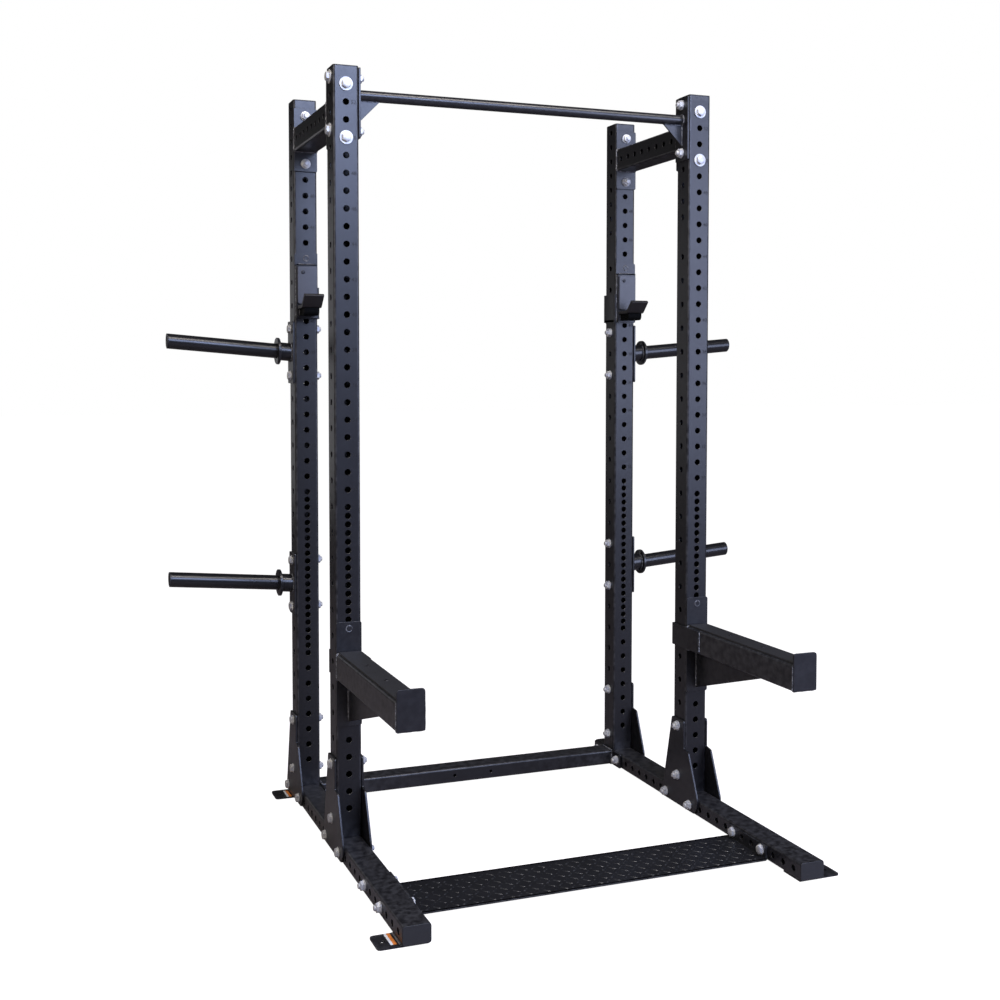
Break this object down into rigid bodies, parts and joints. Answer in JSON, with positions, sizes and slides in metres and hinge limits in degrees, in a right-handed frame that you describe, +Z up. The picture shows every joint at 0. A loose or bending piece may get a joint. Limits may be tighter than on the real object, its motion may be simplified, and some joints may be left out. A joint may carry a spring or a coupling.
{
  "type": "power cage",
  "caption": "Half-rack power cage: drilled uprights on floor rails, with a pull-up bar, tread plate, storage horns, and J-cups and spotter arms that swing on their pins.",
  "frame": {"origin": "on the floor, under the middle of the bounding box, midway between the left and right frames", "axes": "+X to the right as seen from the front, +Y towards the back, +Z up"},
  "size_m": [2.0488, 1.2956, 2.3048],
  "materials": {
    "black_powder_coat": "fine satin powder coat",
    "satin_black": "smooth satin powder coat",
    "bright_zinc": "bright zinc plate",
    "black_plastic": "matte moulded",
    "grey_liner_plastic": "cut sheet, satin"
  },
  "bodies": {
    "rack": {"upright_front_left": "black_powder_coat", "upright_front_right": "black_powder_coat", "upright_rear_left": "black_powder_coat", "upright_rear_right": "black_powder_coat", "base_rail_left": "black_powder_coat", "top_side_member_left": "black_powder_coat", "base_rail_right": "black_powder_coat", "top_side_member_right": "black_powder_coat", "foot_plate_front_left_outer": "black_powder_coat", "foot_plate_front_right_outer": "black_powder_coat", "foot_plate_rear_left_outer": "black_powder_coat", "foot_plate_rear_right_outer": "black_powder_coat", "foot_plate_front_left_inner": "black_powder_coat", "foot_plate_front_right_inner": "black_powder_coat", "rear_crossmember": "black_powder_coat", "tread_footplate": "black_powder_coat", "pull_up_bar": "satin_black", "storage_horn_upper_left": "satin_black", "horn_cap_upper_left": "black_plastic", "member_bolt_front_left_upper": "bright_zinc", "member_bolt_rear_left_upper": "bright_zinc", "bar_bolt_left_upper": "bright_zinc", "storage_horn_lower_left": "satin_black", "horn_cap_lower_left": "black_plastic", "member_bolt_front_left_lower": "bright_zinc", "member_bolt_rear_left_lower": "bright_zinc", "bar_bolt_left_lower": "bright_zinc", "top_cap_front_left": "black_plastic", "rail_cap_front_left": "black_plastic", "top_cap_rear_left": "black_plastic", "rail_cap_rear_left": "black_plastic", "storage_horn_upper_right": "satin_black", "horn_cap_upper_right": "black_plastic", "member_bolt_front_right_upper": "bright_zinc", "member_bolt_rear_right_upper": "bright_zinc", "bar_bolt_right_upper": "bright_zinc", "storage_horn_lower_right": "satin_black", "horn_cap_lower_right": "black_plastic", "member_bolt_front_right_lower": "bright_zinc", "member_bolt_rear_right_lower": "bright_zinc", "bar_bolt_right_lower": "bright_zinc", "top_cap_front_right": "black_plastic", "rail_cap_front_right": "black_plastic", "top_cap_rear_right": "black_plastic", "rail_cap_rear_right": "black_plastic"},
    "j_cup_left": {"j_cup_body_left": "black_powder_coat", "j_cup_pin_left": "black_powder_coat", "j_cup_back_liner_left": "grey_liner_plastic", "j_cup_hook_liner_left": "black_plastic"},
    "j_cup_right": {"j_cup_body_right": "black_powder_coat", "j_cup_pin_right": "black_powder_coat", "j_cup_back_liner_right": "grey_liner_plastic", "j_cup_hook_liner_right": "black_plastic"},
    "spotter_left": {"spotter_arm_left": "black_powder_coat", "spotter_pin_left": "black_powder_coat", "spotter_liner_left": "black_plastic"},
    "spotter_right": {"spotter_arm_right": "black_powder_coat", "spotter_pin_right": "black_powder_coat", "spotter_liner_right": "black_plastic"}
  },
  "joints": [
    {"name": "j_cup_left_swing", "type": "hinge", "parent": "rack", "child": "j_cup_left", "pos_m": [-0.581, 0.50205, 1.7935], "axis": [0, -1, 0], "range_deg": [0, 90]},
    {"name": "spotter_left_swing", "type": "hinge", "parent": "rack", "child": "spotter_left", "pos_m": [-0.581, -0.00895, 0.6759], "axis": [0, -1, 0], "range_deg": [0, 90]},
    {"name": "j_cup_right_swing", "type": "hinge", "parent": "rack", "child": "j_cup_right", "pos_m": [0.581, 0.50205, 1.7935], "axis": [0, 1, 0], "range_deg": [0, 90]},
    {"name": "spotter_right_swing", "type": "hinge", "parent": "rack", "child": "spotter_right", "pos_m": [0.581, -0.00895, 0.6759], "axis": [0, 1, 0], "range_deg": [0, 90]}
  ]
}
